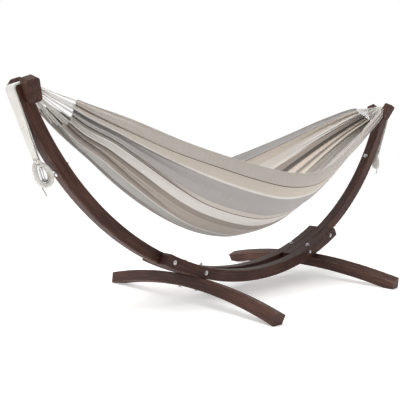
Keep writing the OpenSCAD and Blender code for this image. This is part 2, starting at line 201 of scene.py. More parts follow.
def tube(path, radius, sides=8, turn=0.0):
    """Closed tube along a path: points, faces and the corners' (length, turn) pairs.

    radius is one number or one for each point; turn adds that many turns of twist per metre.
    """
    path = np.asarray(path, float)
    slope = tangents(path)
    start = np.array([0.0, 1.0, 0.0]) if abs(slope[0][1]) < 0.9 else np.array([1.0, 0.0, 0.0])
    u = unit(np.cross(slope[0], start))
    length = np.concatenate([[0.0], np.cumsum(np.linalg.norm(np.diff(path, axis=0), axis=1))])
    rings = []
    for i, p in enumerate(path):
        u = unit(u - slope[i] * (u @ slope[i]))
        w = np.cross(slope[i], u)
        angle = 2 * np.pi * (np.arange(sides) / sides + turn * length[i])
        r = radius[i] if np.ndim(radius) else radius
        rings.append(p + r * (np.cos(angle)[:, None] * u + np.sin(angle)[:, None] * w))
    points = np.concatenate(rings)
    faces, uvs = [], []
    for i in range(len(path) - 1):
        for k in range(sides):
            a, b = i * sides + k, i * sides + (k + 1) % sides
            faces.append((a, b, b + sides, a + sides))
            uvs += [(length[i], k / sides), (length[i], (k + 1) / sides),
                    (length[i + 1], (k + 1) / sides), (length[i + 1], k / sides)]
    last = (len(path) - 1) * sides
    faces.append(tuple(range(sides - 1, -1, -1)))
    faces.append(tuple(range(last, last + sides)))
    uvs += [(0.0, 0.0)] * (2 * sides)
    return points, faces, uvs


def joined(parts):
    """Several tubes as one set of points, faces and corner pairs."""
    points, faces, uvs, base = [], [], [], 0
    for p, f, uv in parts:
        points.append(p)
        faces += [tuple(i + base for i in face) for face in f]
        uvs += uv
        base += len(p)
    return np.concatenate(points), faces, uvs


def mirrored(path, side):
    """The path as it is on the left, for side -1, or its mirror image on the right."""
    return path * np.array([-side, 1.0, 1.0])


# ---------------------------------------------------------------- material building

class Graph:
    """Short names for the nodes of one material."""

    def __init__(self, name):
        self.material = bpy.data.materials.new(name)
        self.material.use_nodes = True
        self.tree = self.material.node_tree
        self.shader = self.tree.nodes["Principled BSDF"]

    def plug(self, socket, value):
        if isinstance(value, bpy.types.NodeSocket):
            self.tree.links.new(value, socket)
        elif value is not None:
            socket.default_value = value

    def node(self, kind, out, **inputs):
        made = self.tree.nodes.new(kind)
        for name, value in inputs.items():
            self.plug(made.inputs[name.replace("_", " ")], value)
        return made.outputs[out]

    def math(self, operation, a, b=None, c=None):
        made = self.tree.nodes.new("ShaderNodeMath")
        made.operation = operation
        for socket, value in zip(made.inputs, (a, b, c)):
            self.plug(socket, value)
        return made.outputs[0]

    def smooth(self, value, low, high):
        """0 below low, 1 above high and smooth between; low may be above high."""
        made = self.tree.nodes.new("ShaderNodeMapRange")
        made.interpolation_type = "SMOOTHSTEP"
        self.plug(made.inputs["Value"], value)
        made.inputs["From Min"].default_value = min(low, high)
        made.inputs["From Max"].default_value = max(low, high)
        made.inputs["To Min"].default_value = 0.0 if low < high else 1.0
        made.inputs["To Max"].default_value = 1.0 if low < high else 0.0
        return made.outputs[0]

    def spread(self, value, low, high):
        """Maps 0 to 1 onto low to high."""
        return self.math("MULTIPLY_ADD", value, high - low, low)

    def xyz(self, x, y, z):
        return self.node("ShaderNodeCombineXYZ", 0, X=x, Y=y, Z=z)

    def scaled(self, parts, factors):
        return self.xyz(*[self.math("MULTIPLY", p, f) for p, f in zip(parts, factors)])

    def place(self):
        """X, Y and Z of the surface in the part's own frame."""
        split = self.tree.nodes.new("ShaderNodeSeparateXYZ")
        self.plug(split.inputs[0], self.node("ShaderNodeTexCoord", "Object"))
        return list(split.outputs)

    def flat(self):
        """The two flat coordinates that the mesh carries."""
        split = self.tree.nodes.new("ShaderNodeSeparateXYZ")
        made = self.tree.nodes.new("ShaderNodeUVMap")
        made.uv_map = "flat"
        self.plug(split.inputs[0], made.outputs[0])
        return split.outputs[0], split.outputs[1]

    def noise(self, vector, scale, detail=3.0, roughness=0.55):
        return self.node("ShaderNodeTexNoise", 0, Vector=vector, Scale=scale, Detail=detail,
                         Roughness=roughness)

    def mix(self, share, a, b, blend="MIX"):
        made = self.tree.nodes.new("ShaderNodeMix")
        made.data_type = "RGBA"
        made.blend_type = blend
        self.plug(made.inputs[0], share)
        self.plug(made.inputs[6], a)
        self.plug(made.inputs[7], b)
        return made.outputs[2]

    def ramp(self, value, stops, constant=False):
        made = self.tree.nodes.new("ShaderNodeValToRGB")
        ramp = made.color_ramp
        ramp.interpolation = "CONSTANT" if constant else "LINEAR"
        while len(ramp.elements) < len(stops):
            ramp.elements.new(0.5)
        for element, (place, colour) in zip(ramp.elements, stops):
            element.position = place
            element.color = colour
        self.plug(made.inputs[0], value)
        return made.outputs[0]

    def bump(self, height, strength, distance, normal=None):
        return self.node("ShaderNodeBump", 0, Height=height, Strength=strength, Distance=distance,
                         Normal=normal)

    def finish(self, **inputs):
        for name, value in inputs.items():
            self.plug(self.shader.inputs[name.replace("_", " ")], value)
        return self.material


# ---------------------------------------------------------------- materials

def floor_material():
    g = Graph("floor")
    x, y, z = g.place()
    mottle = g.noise(g.xyz(x, y, z), 1.2, 2.0)
    colour = g.mix(mottle, srgb(250, 250, 250), srgb(253, 253, 253))
    return g.finish(Base_Color=colour, Roughness=0.9, Specular_IOR_Level=0.1,
                    Emission_Color=(1.0, 1.0, 1.0, 1.0), Emission_Strength=0.31)


def arc_grain(g):
    """Length along the common arc, distance from its middle line, and Y."""
    x, y, z = g.place()
    down = g.math("SUBTRACT", ARC_Z, z)
    radius = g.math("SQRT", g.math("ADD", g.math("MULTIPLY", x, x), g.math("MULTIPLY", down, down)))
    along = g.math("MULTIPLY", g.math("ARCTAN2", x, down), ARC_RADIUS)
    return along, g.math("SUBTRACT", radius, ARC_RADIUS), y


def foot_grain(g):
    """Length along a foot, distance from its middle line, and distance along the stand."""
    x, y, z = g.place()
    a = math.radians(FOOT_ANGLE)
    x = g.math("ABSOLUTE", x)
    top = ARC_RADIUS + HALF - SEAT_DEPTH
    centre_x = (top + FOOT_RADIUS) * math.sin(a)
    centre_z = ARC_Z - (top + FOOT_RADIUS) * math.cos(a)
    dx, dz = g.math("SUBTRACT", x, centre_x), g.math("SUBTRACT", z, centre_z)
    up = g.math("ADD", g.math("MULTIPLY", dx, -math.sin(a)), g.math("MULTIPLY", dz, math.cos(a)))
    across = g.math("ADD", g.math("MULTIPLY", dx, math.cos(a)), g.math("MULTIPLY", dz, math.sin(a)))
    radius = g.math("SQRT", g.math("ADD", g.math("MULTIPLY", y, y), g.math("MULTIPLY", up, up)))
    along = g.math("MULTIPLY", g.math("ARCTAN2", y, up), FOOT_RADIUS)
    return along, g.math("SUBTRACT", radius, FOOT_RADIUS - HALF), across


# Wood: how often each pattern changes in a metre, along, through and across a beam
BEND_RATE = (2.2, 9.0, 9.0)
STREAK_RATE = (7.0, 150.0, 150.0)
PORE_RATE = (30.0, 700.0, 700.0)
PATCH_RATE = (1.6, 6.0, 6.0)
RUB_RATE = (16.0, 60.0, 60.0)
RING_RATE = 420.0
BEAM_SHIFT = 3.7        # metres between two beams' pieces of the pattern
WOOD_TONES = [(0.36, srgb(36, 22, 18)), (0.56, srgb(61, 38, 31)), (0.80, srgb(96, 64, 53))]


def wood_material(name, grain, seed, middle=0.0, edge=None):
    """Dark stained wood. grain gives the coordinates; middle is the beam's Y.

    edge is half the beam's side, where its corners are rubbed paler; without it nothing is rubbed.
    """
    g = Graph(name)
    along, depth, across = grain(g)
    across = g.math("SUBTRACT", across, middle)
    shifted = g.math("ADD", along, seed * BEAM_SHIFT)
    parts = (shifted, depth, across)
    bend = g.noise(g.scaled(parts, BEND_RATE), 1.0, 2.0)
    wavy = (shifted, g.math("MULTIPLY_ADD", bend, 0.012, depth),
            g.math("MULTIPLY_ADD", bend, 0.010, across))
    streak = g.noise(g.scaled(wavy, STREAK_RATE), 1.0, 4.0, 0.62)
    fine = g.noise(g.scaled(wavy, PORE_RATE), 1.0, 3.0, 0.6)
    patch = g.noise(g.scaled(parts, PATCH_RATE), 1.0, 2.0)
    rings = g.math("SINE", g.math("MULTIPLY_ADD", bend, 9.0, g.math("MULTIPLY", wavy[2], RING_RATE)))
    tone = g.math("ADD", g.math("MULTIPLY", streak, 0.62), g.math("MULTIPLY", fine, 0.22))
    tone = g.math("ADD", tone, g.math("MULTIPLY", rings, 0.045))
    tone = g.math("MULTIPLY_ADD", patch, 0.34, tone)
    colour = g.ramp(tone, WOOD_TONES)
    pores = g.smooth(fine, 0.40, 0.30)
    colour = g.mix(g.math("MULTIPLY", pores, 0.55), colour, srgb(24, 16, 14))
    rough = g.spread(streak, 0.42, 0.66)
    if edge:
        rub_from, rub_full = edge - 0.0055, edge - 0.0015
        near = g.smooth(g.math("ABSOLUTE", depth), rub_from, rub_full)
        beside = g.smooth(g.math("ABSOLUTE", across), rub_from, rub_full)
        rub = g.noise(g.scaled(parts, RUB_RATE), 1.0, 4.0, 0.7)
        worn = g.math("MULTIPLY", g.math("MULTIPLY", near, beside), g.smooth(rub, 0.38, 0.62))
        colour = g.mix(g.math("MULTIPLY", worn, 0.65), colour, srgb(128, 104, 92))
    height = g.math("MULTIPLY_ADD", fine, 0.6, streak)
    return g.finish(Base_Color=colour, Roughness=rough, Normal=g.bump(height, 0.35, 0.0006),
                    Coat_Weight=0.03, Coat_Roughness=0.35, Specular_IOR_Level=0.20)


def steel_material(name, tint, rough_low, rough_high):
    """Brushed and slightly clouded steel; its roughness varies between the two values."""
    g = Graph(name)
    x, y, z = g.place()
    cloud = g.noise(g.xyz(x, y, z), 90.0, 3.0)
    scratch = g.noise(g.scaled((x, y, z), (400.0, 2200.0, 2200.0)), 1.0, 2.0)
    colour = g.mix(cloud, tint, srgb(228, 228, 226))
    colour = g.mix(g.math("MULTIPLY", g.smooth(cloud, 0.42, 0.30), 0.35), colour, srgb(120, 116, 110))
    wear = g.math("MULTIPLY_ADD", scratch, 0.4, g.math("MULTIPLY", cloud, 0.6))
    rough = g.spread(wear, rough_low, rough_high)
    return g.finish(Base_Color=colour, Metallic=1.0, Roughness=rough, Normal=g.bump(scratch, 0.2, 0.0002))


def string_material(name, light, dark, ply):
    """Twisted cotton string; ply is the length of one turn of the twist."""
    g = Graph(name)
    length, around = g.flat()
    wave = g.math("ADD", g.math("DIVIDE", length, ply), g.math("MULTIPLY", around, 3.0))
    groove = g.math("ABSOLUTE", g.math("SINE", g.math("MULTIPLY", wave, math.pi)))
    x, y, z = g.place()
    fuzz = g.noise(g.xyz(x, y, z), 900.0, 3.0)
    cloud = g.noise(g.xyz(x, y, z), 35.0, 2.0)
    colour = g.mix(g.smooth(groove, 0.05, 0.65), dark, light)
    colour = g.mix(g.math("MULTIPLY", g.smooth(cloud, 0.45, 0.7), 0.25), colour, srgb(214, 206, 194))
    height = g.math("MULTIPLY_ADD", fuzz, 0.35, groove)
    return g.finish(Base_Color=colour, Roughness=0.9, Normal=g.bump(height, 0.6, 0.0006),
                    Specular_IOR_Level=0.2, Sheen_Weight=0.25, Sheen_Roughness=0.5)


WARM_GREY = srgb(192, 184, 176)
TAN = srgb(203, 193, 181)
TAUPE = srgb(179, 168, 159)
PEACH = srgb(217, 203, 190)
CREAM = srgb(218, 211, 199)
BLUE_GREY = srgb(173, 168, 166)
BEIGE = srgb(204, 197, 189)
WHITE = srgb(222, 217, 212)
BROWN_GREY = srgb(154, 144, 135)
PALE_GREY = srgb(178, 175, 171)
ASH = srgb(152, 147, 142)
STEEL_GREY = srgb(197, 197, 198)
DARK_YARN = srgb(104, 84, 70)
BROWN_YARN = srgb(126, 102, 86)

# Stripes across the cloth from the near selvage: the share of the width where each starts, and its colour
STRIPES = [
    (0.000, WARM_GREY), (0.060, DARK_YARN), (0.064, TAN), (0.116, WHITE), (0.126, BLUE_GREY),
    (0.248, BEIGE), (0.270, DARK_YARN), (0.274, WHITE), (0.330, BROWN_GREY), (0.368, BROWN_YARN),
    (0.371, TAUPE), (0.443, WHITE), (0.451, PALE_GREY), (0.496, BEIGE), (0.502, ASH),
    (0.560, BROWN_YARN), (0.563, CREAM), (0.610, TAN), (0.640, WHITE), (0.650, PEACH),
    (0.700, ASH), (0.742, BROWN_GREY), (0.790, WHITE), (0.872, TAN), (0.938, BROWN_YARN),
    (0.942, STEEL_GREY)]
WEAVE_PITCH = 0.0034    # metres from one thread to the next but one
STRIPE_WAVER = 0.0015   # how far a stripe's edge wanders, as a share of the width
CREASE_SHADE = 0.62     # how much darker the painted shade makes the cloth in its folds


def cloth_material():
    """Striped plain weave; the flat coordinates are metres along the cloth and the share of its width."""
    g = Graph("striped_cloth")
    along, share = g.flat()
    x, y, z = g.place()
    waver = g.noise(g.xyz(x, 0.0, 0.0), 3.0, 2.0)
    share = g.math("ADD", share, g.spread(waver, -STRIPE_WAVER, STRIPE_WAVER))
    colour = g.ramp(share, STRIPES, constant=True)
    across = g.math("MULTIPLY", share, CLOTH_FLAT_WIDTH)
    warp = g.math("SINE", g.math("MULTIPLY", across, 2 * math.pi / WEAVE_PITCH))
    weft = g.math("SINE", g.math("MULTIPLY", along, 2 * math.pi / WEAVE_PITCH))
    weave = g.math("MULTIPLY", warp, weft)
    slub_warp, slub_weft = [
        g.noise(g.xyz(g.math("MULTIPLY", along, a), g.math("MULTIPLY", across, b), 0.0), 1.0, 2.0)
        for a, b in ((9.0, 700.0), (420.0, 12.0))]
    thread = g.math("ADD", g.math("MULTIPLY", slub_warp, 0.5), g.math("MULTIPLY", slub_weft, 0.5))
    shade = g.ramp(thread, [(0.30, (0.84, 0.83, 0.82, 1.0)), (0.70, (1.06, 1.06, 1.06, 1.0))])
    colour = g.mix(1.0, colour, shade, "MULTIPLY")
    gaps = g.smooth(weave, -0.35, -0.95)
    colour = g.mix(g.math("MULTIPLY", gaps, 0.22), colour, srgb(120, 108, 98))
    cloud = g.noise(g.xyz(x, y, z), 5.0, 3.0)
    colour = g.mix(g.math("MULTIPLY", g.smooth(cloud, 0.5, 0.8), 0.10), colour, srgb(160, 150, 140))
    # Painted shade: the cloth is darkened in its folds and beside them on their low side, by a value that
    # the mesh carries
    painted_fold_shade = g.tree.nodes.new("ShaderNodeAttribute")
    painted_fold_shade.attribute_name = "painted_fold_shade"
    colour = g.mix(g.math("MULTIPLY", painted_fold_shade.outputs["Fac"], CREASE_SHADE), colour, srgb(74, 67, 61))
    height = g.math("ADD", g.math("MULTIPLY", weave, 0.5), thread)
    return g.finish(Base_Color=colour, Roughness=0.92, Normal=g.bump(height, 0.5, 0.0007),
                    Specular_IOR_Level=0.15, Sheen_Weight=0.30, Sheen_Roughness=0.45)


# ---------------------------------------------------------------- cloth

# The bed as it hangs: how far it reaches, its half width, and the heights of its two edges and its lowest
# line at the ends, with how far each drops to the middle; a LEAN raises its right half and lowers its left
EDGE_X = 1.090
END_BOW = 0.108
END_HALF_WIDTH, ADDED_HALF_WIDTH = 0.060, 0.327
NEAR_END, NEAR_DROP = 0.950, 0.340
FAR_END, FAR_DROP, FAR_LEAN = 0.972, 0.332, 0.050
BELLY_END, BELLY_DROP, BELLY_LEAN = 0.915, 0.624, 0.080
TUCK = 0.4              # how much the bed is narrower low down than at its edges
MIDDLE_REACH = 0.16     # share of the half length that is rounded, so that the edges have no corner

CLOTH_FLAT_WIDTH = 1.08
CLOTH_THICK = 0.0016
CLOTH_ROWS = 261
CLOTH_COLUMNS = 301
ROW_CROWDING = 0.93     # 0 spaces the rows evenly, 1 crowds them at the ends
GATHERED_FROM = 0.80    # share of the half length where the gathered ends begin
HIDDEN_FROM = 0.40      # the same for the cloth hidden in the left end's folds
STRING_LOOPS = 23
FOLD_COUNT = 13
GATHER_DEPTH = 0.016


def ease(x):
    """Smooth step from 0 at 0 to 1 at 1."""
    x = np.clip(x, 0, 1)
    return x * x * (3 - 2 * x)


def bed(s, t):
    """Point of the bed's smooth shape: s runs from -1 to 1 along X, and t from -1 to 1 across it."""
    a = np.where(np.abs(s) < MIDDLE_REACH, (s * s / MIDDLE_REACH + MIDDLE_REACH) / 2, np.abs(s))
    skew = 2.6 * s * (1 - s * s)
    width = END_HALF_WIDTH + ADDED_HALF_WIDTH * (1 - a ** 1.27)
    near = NEAR_END - NEAR_DROP * (1 - a ** 1.4)
    far = FAR_END - FAR_DROP * (1 - a ** 1.5) + FAR_LEAN * skew
    edge = near + (far - near) * (1 + np.sin(np.pi / 2 * t)) / 2
    belly = BELLY_END - BELLY_DROP * (1 - a ** 1.58) + BELLY_LEAN * skew
    c = np.cos(np.pi / 2 * t)
    tuck = 1 - TUCK * (1 - a ** 1.5) * c * c
    return np.stack([s * (EDGE_X + END_BOW * (1 - t * t)),
                     width * np.sin(np.pi / 2 * t) * tuck,
                     edge - (edge - belly) * c], axis=-1)


# The cloth's gathered ends: share of the width, then the point, at the left end and at the right end
LEFT_END = np.array([
    [0.00, -1.090, -0.060, 0.948], [0.06, -1.101, -0.063, 0.930], [0.13, -1.108, -0.062, 0.915],
    [0.21, -1.109, -0.057, 0.895], [0.28, -1.112, -0.048, 0.874], [0.35, -1.118, -0.038, 0.857],
    [0.42, -1.134, -0.026, 0.850], [0.49, -1.152, -0.010, 0.840], [0.56, -1.182, 0.004, 0.864],
    [0.62, -1.208, 0.012, 0.892], [0.68, -1.218, 0.018, 0.912], [0.76, -1.195, 0.032, 0.914],
    [0.85, -1.155, 0.044, 0.912], [0.93, -1.118, 0.052, 0.908], [1.00, -1.092, 0.056, 0.906]])
RIGHT_END = np.array([
    [0.00, 1.212, -0.044, 0.988], [0.06, 1.220, -0.047, 0.974], [0.13, 1.222, -0.047, 0.960],
    [0.21, 1.217, -0.044, 0.945], [0.28, 1.211, -0.038, 0.931], [0.35, 1.205, -0.030, 0.920],
    [0.42, 1.198, -0.020, 0.912], [0.49, 1.189, -0.008, 0.910], [0.56, 1.178, 0.004, 0.914],
    [0.62, 1.166, 0.016, 0.922], [0.68, 1.152, 0.028, 0.932], [0.76, 1.136, 0.040, 0.946],
    [0.85, 1.118, 0.050, 0.962], [0.93, 1.103, 0.057, 0.976], [1.00, 1.092, 0.062, 0.990]])
# Near the left end folds hide some of the cloth: share of the bed's girth, and the share of the cloth there
LEFT_HIDDEN = np.array([
    [0.000, 0.000], [0.090, 0.062], [0.130, 0.121], [0.200, 0.248], [0.215, 0.272],
    [0.290, 0.330], [0.340, 0.385], [0.405, 0.437], [0.412, 0.452], [0.540, 0.496],
    [0.565, 0.562], [0.620, 0.640], [1.000, 1.000]])


def bump(x, middle, half):
    """Smooth hill of height 1."""
    return np.exp(-((x - middle) / half) ** 2)


def settle(points, s, share):
    """Draws the smooth shape onto the gathered ends and gives its edges their fullness near them."""
    moves = []
    for end, table, line in ((-1, LEFT_END, points[0]), (1, RIGHT_END, points[-1])):
        target = np.stack([np.interp(share[0], table[:, 0], table[:, k]) for k in (1, 2, 3)], axis=-1)
        pulled = ease((end * s - GATHERED_FROM) / (1 - GATHERED_FROM))
        moves.append(pulled[..., None] * (target - line))
    points = points + moves[0] + moves[1]
    # The near edge stands up at the left, and the far edge at the right
    points[..., 2] += 0.011 * bump(s, -0.80, 0.16) * np.exp(-share / 0.12)
    points[..., 2] += 0.020 * bump(s, 0.84, 0.20) * np.exp(-(1 - share) / 0.16)
    # The near side is fuller below its edge at the right
    points[..., 2] -= 0.020 * bump(s, 0.80, 0.20) * bump(share, 0.32, 0.20)
    points[..., 0] += 0.012 * bump(s, 0.80, 0.20) * bump(share, 0.25, 0.20)
    return points


def bed_grid():
    """Rows along the cloth and columns at even shares of its width, on the smooth shape."""
    rows = np.sin(np.linspace(-1, 1, CLOTH_ROWS) * np.pi / 2 * ROW_CROWDING)
    rows = rows / math.sin(np.pi / 2 * ROW_CROWDING)
    shares = np.linspace(0, 1, CLOTH_COLUMNS)
    fine = np.linspace(-1, 1, 401)
    points = []
    for s in rows:
        line = bed(np.full_like(fine, s), fine)
        length = np.concatenate([[0], np.cumsum(np.linalg.norm(np.diff(line, axis=0), axis=1))])
        hidden = ease((-s - HIDDEN_FROM) / 0.45)
        girth = shares + hidden * (np.interp(shares, LEFT_HIDDEN[:, 1], LEFT_HIDDEN[:, 0]) - shares)
        t = np.interp(girth * length[-1], length, fine)
        points.append(bed(np.full_like(t, s), t))
    s_grid, share_grid = np.meshgrid(rows, shares, indexing="ij")
    return rows, shares, settle(np.array(points), s_grid, share_grid)


def gathers(s, share):
    """Folds that the strings make at each end: round lobes with sharp valleys, fading inwards."""
    warped = (share + 0.012 * np.sin(7.3 * share * np.pi + 0.6)
              + 0.007 * np.sin(17 * share * np.pi + 2.0 * np.sign(s)))
    lobes = np.abs(np.sin(np.pi * FOLD_COUNT * warped)) ** 0.75 - 0.62
    small = np.sin(2 * np.pi * 2.5 * FOLD_COUNT * warped + 1.3) * 0.14
    reach = (0.17 + 0.10 * np.sin(2 * np.pi * 2.7 * share + 1.1 * np.sign(s)) ** 2
             + 0.05 * np.sin(2 * np.pi * 6.1 * share))
    fade = np.exp(-((1 - np.abs(s)) / reach) ** 1.15)
    return GATHER_DEPTH * (lobes + small) * fade


# Long folds: the end where it starts (-1 left), its share of the width there and at its inner tip, s of the
# tip, depth, and half width in shares; the cloth beyond the fold lies deeper than the cloth before it
LONG_FOLDS = [
    (-1, 0.066, 0.064, -0.74, 0.010, 0.009),
    (-1, 0.150, 0.118, -0.46, 0.018, 0.009),
    (-1, 0.240, 0.272, -0.36, 0.026, 0.011),
    (-1, 0.334, 0.333, -0.50, 0.022, 0.011),
    (-1, 0.392, 0.438, -0.36, 0.034, 0.013),
    (-1, 0.500, 0.488, -0.28, 0.020, 0.014),
    (-1, 0.580, 0.572, -0.38, 0.018, 0.014),
    (-1, 0.700, 0.690, -0.20, 0.016, 0.016),
    (-1, 0.830, 0.815, -0.42, 0.012, 0.014),
    (1, 0.735, 0.728, 0.08, 0.030, 0.016),
    (1, 0.800, 0.806, 0.46, 0.012, 0.012),
    (1, 0.655, 0.640, 0.18, 0.020, 0.012),
    (1, 0.590, 0.575, 0.24, 0.018, 0.012),
    (1, 0.510, 0.490, 0.35, 0.014, 0.014),
    (1, 0.380, 0.372, 0.48, 0.012, 0.012),
    (1, 0.255, 0.262, 0.55, 0.011, 0.011),
    (1, 0.120, 0.122, 0.60, 0.008, 0.010)]


def long_folds(s, share):
    """Depth of the long folds, and the painted shade of each point in and beside a fold, from 0 to 1."""
    total, painted_fold_shade = np.zeros_like(share), np.zeros_like(share)
    for end, at_end, at_tip, tip, depth, half in LONG_FOLDS:
        run = np.clip((s - tip) / (end - tip), 0, 1)
        where = at_tip + (at_end - at_tip) * run
        away = (share - where) / half
        # The cloth steps down across the fold and comes back up slowly beyond it
        step = ease((away + 1) / 2) * np.exp(-np.clip(away, 0, None) / 3.2)
        groove = np.exp(-(away / 0.9) ** 2)
        strength = ease(run * 2.2) * (0.55 + 0.45 * run)
        total -= depth * strength * (0.75 * step + 0.45 * groove)
        # Painted shade: darkest in the fold, and darker on the low side than on the high side
        inside = np.exp(-(away / 1.1) ** 2)
        behind = min(0.6, 16 * depth) * np.exp(-np.clip(away, 0, None) / 2.2) * (away > 0)
        painted_fold_shade = np.maximum(painted_fold_shade, np.maximum(inside, behind) * strength * min(1.0, depth / 0.018))
    return total, painted_fold_shade


def slack(s, share):
    """Low broad waves of cloth that carries no load."""
    middle = (1 - np.abs(s) ** 3)
    wave = (0.0030 * np.sin(2 * np.pi * (2.6 * share + 0.35 * s) + 0.5)
            + 0.0022 * np.sin(2 * np.pi * (5.3 * share - 0.6 * s) + 2.1)
            + 0.0014 * np.sin(2 * np.pi * (9.1 * share + 0.4 * s) + 4.0))
    return wave * middle


def cloth_surface():
    """Grid of points with all folds, the flat coordinates of each, and the painted shade of the folds."""
    rows, shares, base = bed_grid()
    s, share = np.meshgrid(rows, shares, indexing="ij")
    along = np.gradient(base, axis=0)
    across = np.gradient(base, axis=1)
    normal = unit(np.cross(across, along))
    # Outwards is downwards at the bed's lowest point
    if normal[CLOTH_ROWS // 2, CLOTH_COLUMNS // 2, 2] > 0:
        normal = -normal
    folds, painted_fold_shade = long_folds(s, share)
    pleats = gathers(s, share)
    depth = pleats + folds + slack(s, share)
    # Painted shade also darkens the valleys of the gathers at the ends
    painted_fold_shade = np.clip(np.maximum(painted_fold_shade, -pleats / 0.010), 0, 1)
    near_selvage = ease(share / 0.02) * ease((1 - share) / 0.02)
    points = base + normal * (depth * (0.35 + 0.65 * near_selvage))[..., None]
    # Each lobe of the end runs out a little further than the valleys beside it
    lobe = gathers(np.sign(s), share) / GATHER_DEPTH
    points[..., 0] += np.sign(s) * 0.010 * lobe * np.exp(-(1 - np.abs(s)) / 0.02)
    middle = base[:, CLOTH_COLUMNS // 2]
    length = np.concatenate([[0], np.cumsum(np.linalg.norm(np.diff(middle, axis=0), axis=1))])
    flat = np.stack([np.broadcast_to(length[:, None], share.shape), share], axis=-1)
    return points, flat, painted_fold_shade


def make_cloth(points, flat, painted_fold_shade):
    """The striped cloth, thickened to both sides of the grid."""
    rows, columns = points.shape[:2]
    index = np.arange(rows * columns).reshape(rows, columns)
    corners = (index[:-1, :-1], index[1:, :-1], index[1:, 1:], index[:-1, 1:])
    faces = np.stack(corners, axis=-1).reshape(-1, 4)
    uvs = flat.reshape(-1, 2)[faces.ravel()]
    cloth = new_mesh("cloth_sheet", points.reshape(-1, 3), faces, cloth_material(), uvs)
    # The painted shade of the folds goes onto the points, for the cloth's material
    layer = cloth.data.attributes.new("painted_fold_shade", "FLOAT", "POINT")
    layer.data.foreach_set("value", painted_fold_shade.astype(np.float32).ravel())
    thick = cloth.modifiers.new("thickness", "SOLIDIFY")
    thick.thickness = CLOTH_THICK
    thick.offset = 0.0
    depsgraph = bpy.context.evaluated_depsgraph_get()
    cloth.data = bpy.data.meshes.new_from_object(
        cloth.evaluated_get(depsgraph), preserve_all_data_layers=True, depsgraph=depsgraph)
    cloth.modifiers.clear()
    cloth.data.name = "cloth_sheet"
    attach(cloth, "hammock")
    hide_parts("cloth")
    return cloth


def make_hem(name, line, material):
    """Corded hem along one side of the cloth."""
    points, faces = tube(line, HEM_RADIUS, 8)[:2]
    hem = new_mesh(name, points, faces, material)
    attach(hem, "hammock")
    return hem


# ---------------------------------------------------------------- strings

def on_arc(angle, radius):
    """Point of the left end on the common arc, in the XZ plane."""
    a = math.radians(angle)
    return np.array([-radius * math.sin(a), 0.0, ARC_Z - radius * math.cos(a)])


def saddle(angle):
    """Point over the rounded end of the left arm; 0 is on its end and 90 on its outer face."""
    top = math.radians(ARM_TOP)
    along = np.array([-math.cos(top), 0.0, math.sin(top)])
    out = np.array([-math.sin(top), 0.0, -math.cos(top)])
    centre = on_arc(ARM_TOP, ARC_RADIUS + HALF - SADDLE_ROUND) - SADDLE_ROUND * along
    a = math.radians(angle)
    reach = SADDLE_ROUND + RIBBON_THICK + RIBBON_GAP
    return centre + reach * (math.cos(a) * along + math.sin(a) * out)


def ribbon_route():
    """Middle line of the left bundle from the inner edge of the arm's end to the neck."""
    top = math.radians(ARM_TOP)
    inner = on_arc(ARM_TOP, ARC_RADIUS - HALF + INNER_EDGE)
    inner = inner + (RIBBON_THICK + RIBBON_GAP) * np.array([-math.cos(top), 0.0, math.sin(top)])
    first = [inner + u * (saddle(0) - inner) for u in (0.0, 0.35, 0.7)]
    bend = [saddle(a) for a in np.arange(0.0, 90.1, 15.0)]
    down = [saddle(90) + u * (NECK - saddle(90)) for u in np.linspace(0.08, 1.0, 14)]
    return np.array(first + bend + down)


# The bundle, from the arm's end to the neck: how far out its outermost strings lie and how much nearer they
# come, and how far each loop's two strands lie off its middle and how much further they move
LANE_HALF_WIDTH, LANE_NARROWING = 0.0350, 0.0135
STRAND_LIFT, ADDED_LIFT = 0.0020, 0.0052
EVEN_UNTIL = 0.35       # share of the bundle's length before it narrows and thickens
STRAND_SPREAD = 0.0022  # a loop's two strands, above and below its middle at the cloth
STRING_SAG = 0.003


def string_paths(side, ends):
    """Both strands of every loop, from the cloth over the arm's end to the neck.

    side is -1 left, 1 right; ends holds the point of the cloth where each loop starts.
    """
    route = ribbon_route()
    slope = tangents(route)
    outward = np.cross(slope, [0.0, 1.0, 0.0])
    length = np.concatenate([[0], np.cumsum(np.linalg.norm(np.diff(route, axis=0), axis=1))])
    run = np.clip((length / length[-1] - EVEN_UNTIL) / (1 - EVEN_UNTIL), 0, 1)
    half_wide = LANE_HALF_WIDTH - LANE_NARROWING * run ** 1.3
    half_thick = STRAND_LIFT + ADDED_LIFT * run ** 2
    paths = []
    for k, end in enumerate(ends):
        lane = (2 * k / (len(ends) - 1) - 1)
        for strand in (-1, 1):
            phase = 9.0 * length / length[-1] * (1 + 0.3 * math.sin(k)) + 1.7 * k + strand
            wander = 0.0007 * np.sin(phase)
            y = lane * half_wide + wander + strand * 0.0004
            lift = strand * half_thick * np.sqrt(np.clip(1 - 0.75 * lane * lane * run, 0, 1))
            over = route + outward * lift[:, None] * -1 + np.stack([0 * y, y, 0 * y], axis=-1)
            over = mirrored(over, side)
            start = end + np.array([0.0, 0.0, strand * STRAND_SPREAD])
            share = np.linspace(0, 1, 12)[:-1, None]
            sag = -STRING_SAG * np.sin(np.pi * share) * (1 + 0.4 * math.sin(2.1 * k + strand))
            free = start + (over[0] - start) * share + sag * np.array([0.0, 0.0, 1.0])
            paths.append(np.concatenate([free, over]))
    return paths


def cloth_ends(points, side):
    """Where the string loops pull the cloth: points just inside its end, at even shares of the width."""
    row = points[2] if side < 0 else points[-3]
    shares = (np.arange(STRING_LOOPS) + 0.5) / STRING_LOOPS
    index = np.round(shares * (CLOTH_COLUMNS - 1)).astype(int)
    return row[index]


